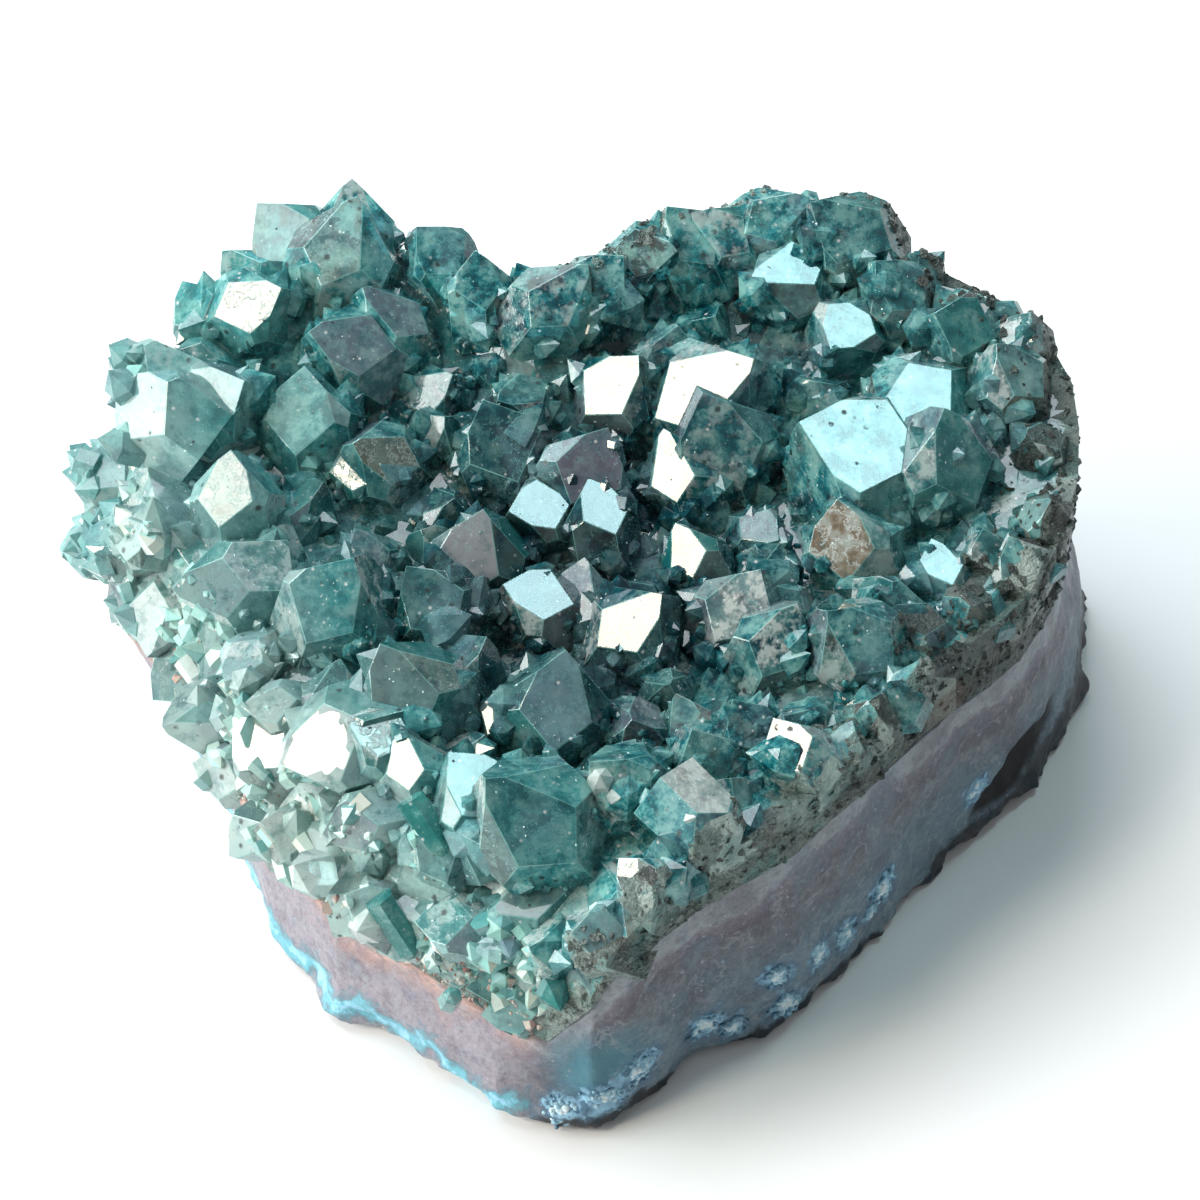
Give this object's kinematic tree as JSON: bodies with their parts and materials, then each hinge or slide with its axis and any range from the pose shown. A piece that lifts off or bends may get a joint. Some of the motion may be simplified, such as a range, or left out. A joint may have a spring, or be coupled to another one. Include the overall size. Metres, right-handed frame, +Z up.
{
  "type": "dyed amethyst cluster",
  "caption": "Heart-shaped cut of teal-dyed amethyst: a crust of fused quartz crystals on a sawn chalcedony matrix with a flat base.",
  "frame": {"origin": "middle of the plan box, on the flat base that the specimen stands on", "axes": "+Z up, -Y towards the heart's point, +X towards its right lobe as seen from the point"},
  "size_m": [0.082, 0.0682, 0.0349],
  "materials": {
    "chalcedony": "sawn stone, dull satin",
    "dyed_quartz": "clear to cloudy crystal, glossy flat faces"
  },
  "bodies": {
    "root": {"matrix": "chalcedony", "crystal_crust": "dyed_quartz"}
  },
  "joints": []
}
